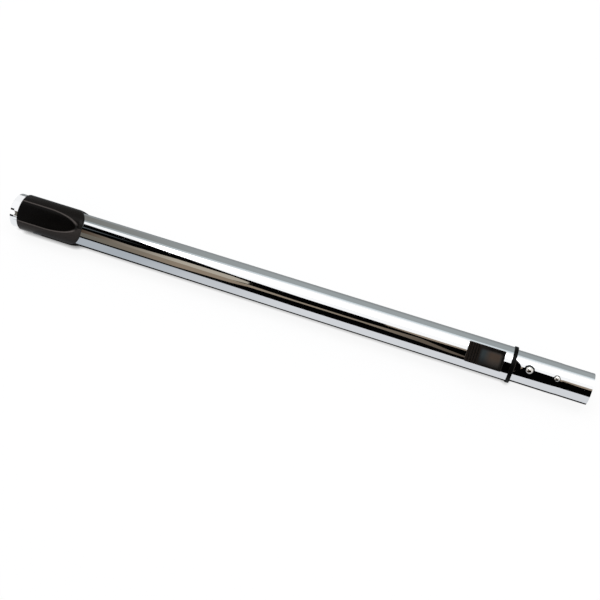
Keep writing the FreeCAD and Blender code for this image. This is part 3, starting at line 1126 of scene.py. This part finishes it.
@dataclass
class Card:
    """A studio card on a drum round the wand's axis, seen only in reflections.

    Attributes:
        name: the card's name.
        colour: sRGB hex colour of its glow.
        cuts: its cross-sections along the wand: place in metres, first and second edge in degrees above the
            front horizon, and the share of the far colour, if any.
        far_colour: colour that it turns to, or None for the same colour all over.
        radius: the drum's radius in metres.
        rows: cells from its first edge to its second.
    """

    name: str
    colour: str
    cuts: Sequence[Sequence[float]]
    far_colour: str | None = None
    radius: float = 1.55
    rows: int = 24

    def point(self, x: float, measure: float) -> Point:
        """Point of the drum at an angle above the front horizon."""
        lift = math.radians(measure)
        return x, -self.radius * math.cos(lift), self.radius * math.sin(lift)

    def glow(self) -> bpy.types.Material:
        """Make a plain material that shows its colour whatever the light.

        Returns:
            The material.
        """
        made = bpy.data.materials.new(self.name + "_paint")
        tree = empty_tree(made)
        light = add_node(tree, "ShaderNodeEmission", {"Color": linear(self.colour), "Strength": 1.0})
        if self.far_colour is not None:
            share = add_node(tree, "ShaderNodeAttribute", {"attribute_name": FAR_SHARE})
            tones = {"data_type": "RGBA", MIX_A: linear(self.colour), MIX_B: linear(self.far_colour)}
            mixed = add_node(tree, "ShaderNodeMix", tones, {0: share.outputs["Fac"]})
            tree.links.new(mixed.outputs[MIX_COLOUR], light.inputs["Color"])
        add_node(tree, "ShaderNodeOutputMaterial", links={"Surface": light.outputs["Emission"]})
        return made

    def build(self) -> None:
        """Make the card's mesh and glow, for mirrors only."""
        step = self.rows + 1
        points, shares = [], []
        for x, low, high, far in ((*cut, 0.0)[:4] for cut in self.cuts):  # no share given means none
            points += [self.point(x, low + (high - low) * row / self.rows) for row in range(step)]
            shares += [far] * step
        faces = [(at * step + row, (at + 1) * step + row, (at + 1) * step + row + 1, at * step + row + 1)
                 for at in range(len(self.cuts) - 1) for row in range(self.rows)]
        card = new_piece(self.name, points, faces)
        card.data.attributes.new(FAR_SHARE, "FLOAT", "POINT").data.foreach_set("value", shares)
        card.data.materials.append(self.glow())
        card.visible_camera = card.visible_diffuse = False
        card.visible_transmission = card.visible_shadow = False
        card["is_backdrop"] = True


@dataclass
class FloorCard(Card):
    """A studio card that lies flat at a height, its edges in millimetres to the back of the wand's axis."""

    height: float = 0.0

    def point(self, x: float, measure: float) -> Point:
        """Point of the floor at a distance to the back."""
        return x, measure * MM, self.height


# The dark room in front, with its brown wall, gives the chrome its dark bands.
ROOM_CARDS = (
    Card("dark_room_card", "#030303",
         ((-0.85, -7, 98), (-0.62, -7, 97), (-0.46, -7, 92), (-0.32, -7, 81), (-0.15, -7, 67), (0.04, -7, 60),
          (0.40, -7, 57), (0.70, -7, 60), (0.85, -4, 55), (2.4, -4, 54)), radius=1.60),
    Card("cool_streak_card", "#5C6468", ((-0.85, 68, 76), (-0.62, 69, 75, 0.3), (-0.42, 71, 73, 1)), "#1C1D1C"),
    Card("brown_wall_card", "#4C3F34",
         ((-0.85, 34, 56), (-0.62, 34, 55), (-0.46, 34, 49, 0.5), (-0.32, 34, 56, 1), (-0.15, 34, 58, 1),
          (-0.10, 40, 52, 1)), "#ADA597"),
    Card("olive_wall_card", "#65625A",
         ((-0.85, 6, 34), (-0.62, 6, 34), (-0.46, 5, 34, 0.5), (-0.32, 3, 34, 1), (-0.15, 12, 34, 1),
          (-0.10, 20, 34, 1)), "#8B7D6D"),
    Card("brown_streak_card", "#8F8374",
         ((-0.11, 21, 36), (0.04, 21, 30), (0.24, 22, 31, 0.2), (0.40, 14, 38, 0.8), (0.49, 4, 19, 0.8),
          (0.56, 5, 9, 1)), "#4E453D"),
    Card("brown_edge_card", "#968879", ((0.30, 52, 57), (0.42, 47, 58), (0.53, 50, 57))),
    Card("brown_end_card", "#968879", ((0.77, 50, 57), (0.83, 44, 56), (2.4, 44, 55))),
)
# Grey behind for the chrome's upper edge, and white past the wand's mouth.
BACK_CARDS = (
    Card("grey_back_card", "#74736E",
         ((-2.4, 126, 190), (-0.62, 127, 190, 0.1), (-0.30, 129, 190, 0.75), (0.05, 137, 190, 1),
          (2.6, 139, 190, 1)), "#9CA2A3"),
    Card("white_end_card", "#FAFAFA", ((-2.4, 110, 178), (-0.80, 110, 178)), radius=1.53),
    Card("pale_back_card", "#98A0A1",
         ((-2.4, 114, 126), (-0.62, 115, 127), (-0.30, 117, 129, 0.6), (0.05, 127, 137, 1), (2.6, 128, 139, 1)),
         "#D3DCE0"),
)


def background_rays(tree: Tree) -> Socket:
    """Flag the rays that see the background as it is.

    Args:
        tree: node tree that gets the nodes.

    Returns:
        1 for camera, glossy and transmission rays, 0 for others.
    """
    path = add_node(tree, "ShaderNodeLightPath")
    flag = path.outputs["Is Camera Ray"]
    for other in ("Is Glossy Ray", "Is Transmission Ray"):
        either = add_node(tree, "ShaderNodeMath", {"operation": "MAXIMUM"}, {0: flag, 1: path.outputs[other]})
        flag = either.outputs[0]
    return flag


@dataclass
class Studio:
    """Plain pale floor, soft light and the surroundings that the chrome mirrors. Lengths in metres."""

    floor_side: float = 12.0
    floor_colour: str = "#636364"
    floor_lift: float = 0.885
    contact: float = 0.005
    contact_samples: int = 12
    sky_light: float = 0.72
    lamp_power: float = 9.0
    lamp_size: tuple[float, float] = (1.6, 0.9)
    lamp_place: tuple[float, float, float] = (0.3, 0.25, 1.7)

    def floor(self, height: float) -> None:
        """Lay the floor under the wand.

        Args:
            height: the wand's lowest point.
        """
        half = self.floor_side / 2
        corners = [(-half, -half, height), (half, -half, height), (half, half, height), (-half, half, height)]
        floor = new_piece("floor", corners, [(0, 1, 2, 3)])
        made = bpy.data.materials.new("painted_studio_floor")
        tree = empty_tree(made)
        paint_coat = add_node(tree, "ShaderNodeBsdfDiffuse", {"Color": linear(self.floor_colour)})
        # The floor's glow is dimmed by ambient occlusion close to the wand: a painted contact shadow.
        near = add_node(tree, "ShaderNodeAmbientOcclusion",
                        {"samples": self.contact_samples, "Distance": self.contact})
        level = add_node(tree, "ShaderNodeMath", {"operation": "MULTIPLY", 1: self.floor_lift},
                         {0: near.outputs["AO"]})
        lift = add_node(tree, "ShaderNodeMath", {"operation": "MULTIPLY"},
                        {0: background_rays(tree), 1: level.outputs[0]})
        light = add_node(tree, "ShaderNodeEmission", links={"Strength": lift.outputs[0]})
        both = add_node(tree, "ShaderNodeAddShader", links={0: paint_coat.outputs[0], 1: light.outputs[0]})
        add_node(tree, "ShaderNodeOutputMaterial", links={"Surface": both.outputs[0]})
        floor.data.materials.append(made)
        floor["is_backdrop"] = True

    def sky(self) -> None:
        """White surroundings for the eye and for mirrors, a plain level of light for the rest."""
        world = bpy.data.worlds.new("white_studio")
        bpy.context.scene.world = world
        tree = empty_tree(world)
        level = add_node(tree, "ShaderNodeMapRange", {"To Min": self.sky_light, "To Max": 1.0},
                         {"Value": background_rays(tree)})
        shade = add_node(tree, "ShaderNodeBackground", {"Color": linear("#FFFFFF")},
                         {"Strength": level.outputs["Result"]})
        add_node(tree, "ShaderNodeOutputWorld", links={"Surface": shade.outputs["Background"]})

    def lamp(self) -> None:
        """One large soft lamp above and a little behind."""
        light = bpy.data.lights.new("overhead_softbox", "AREA")
        light.shape = "RECTANGLE"
        light.size, light.size_y = self.lamp_size
        light.energy = self.lamp_power
        lamp = bpy.data.objects.new("overhead_softbox", light)
        lamp.location = self.lamp_place
        bpy.context.scene.collection.objects.link(lamp)

    def floor_cards(self, height: float) -> None:
        """Lay the floor that mirrors see: pale in front, white at the mouth, a painted contact shadow under the
        wand, grey behind.

        Args:
            height: the floor's height.
        """
        # Name, layers above the floor, colour, far colour and cuts, with edges in millimetres to the back.
        sheets = (
            # A painted contact shadow under the wand, seen only in mirrors.
            ("contact_shadow_card", 8, "#0B0A09", None,
             ((0.03, -21.0, 30), (0.10, -20.5, 30), (0.30, -18.5, 30), (1.06, -18.5, 30))),
            ("pale_sheet_card", 6, "#ABB1B7", "#D6D8DB",
             ((-3, -280, -12), (-0.03, -280, -12), (0.12, -210, -12), (0.31, -105, -12, 1), (0.55, -105, -12, 1),
              (0.60, -170, -12, 1), (0.66, -300, -12, 1), (3.2, -300, -12, 1))),
            ("white_sheet_card", 7, "#F0F1F2", None,
             ((-3, -280, 0), (-0.035, -280, 0), (-0.034, -60, 0), (0.02, -60, 0))),
            ("dark_floor_card", 4, "#060505", None, ((-3, -3000, -50), (3.2, -3000, -50))),
            ("grey_floor_card", 4, "#8D9192", None, ((-3, 20, 3000), (3.2, 20, 3000))),
        )
        for name, layers, colour, far_colour, cuts in sheets:
            FloorCard(name, colour, cuts, far_colour, height=height + layers * LAYER).build()

    def build(self, height: float) -> None:
        """Set up the whole studio.

        Args:
            height: the wand's lowest point.
        """
        self.floor(height)
        self.sky()
        self.lamp()
        for card in ROOM_CARDS + BACK_CARDS:
            card.build()
        self.floor_cards(height)
        LOG.info("studio: floor at %.4f m", height)


@dataclass
class PhotoCamera:
    """Camera at the photograph's place, found by fitting the wand's outlines. Metres and degrees."""

    focal_px: float = 887.2
    azimuth: float = 16.85
    elevation: float = 52.04
    roll: float = 4.02
    aim_x: float = 0.3277
    aim_up: float = -0.0019
    distance: float = 0.9132
    clip: tuple[float, float] = (0.01, 50)

    def build(self) -> None:
        """Make the camera and use it."""
        side, lift, turn = (math.radians(a) for a in (self.azimuth, self.elevation, self.roll))
        back = Vector((math.sin(side) * math.cos(lift), -math.cos(side) * math.cos(lift), math.sin(lift)))
        level = Vector((math.cos(side), math.sin(side), 0))
        up = back.cross(level)
        right = level * math.cos(turn) + up * math.sin(turn)
        above = up * math.cos(turn) - level * math.sin(turn)
        data = bpy.data.cameras.new("photo_camera")
        data.sensor_width = SENSOR_MM
        data.lens = self.focal_px / PICTURE_SIDE * SENSOR_MM
        data.clip_start, data.clip_end = self.clip
        camera = bpy.data.objects.new("photo_camera", data)
        camera.matrix_world = Matrix((right, above, back)).transposed().to_4x4()
        camera.location = AHEAD * self.aim_x + up * self.aim_up + back * self.distance
        bpy.context.scene.collection.objects.link(camera)
        bpy.context.scene.camera = camera


def main() -> None:
    """Build the wand, the studio and the camera."""
    logging.basicConfig(level=logging.INFO, format="%(name)s: %(message)s")
    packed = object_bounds()
    bpy.context.scene.view_settings.view_transform = "Standard"
    assemblies: list[SubAssembly] = [
        OuterTube(), InnerTube(), GripSleeve(), ReturnSprings(), ButtonLeaf(),
        CadPieces({"thumb_slider": SLIDER_ABS, "end_bush": BUSH_ACETAL, "guide_ring": BUSH_ACETAL,
                   "lock_carrier": BUSH_ACETAL, "lock_roller": NICKEL, "snap_button": BUTTON_NICKEL,
                   "leaf_rivet": RIVET_NICKEL}),
    ]
    for assembly in assemblies:
        assembly.build()
    Studio().build(packed[0].z)
    PhotoCamera().build()


if __name__ == "__main__":
    main()
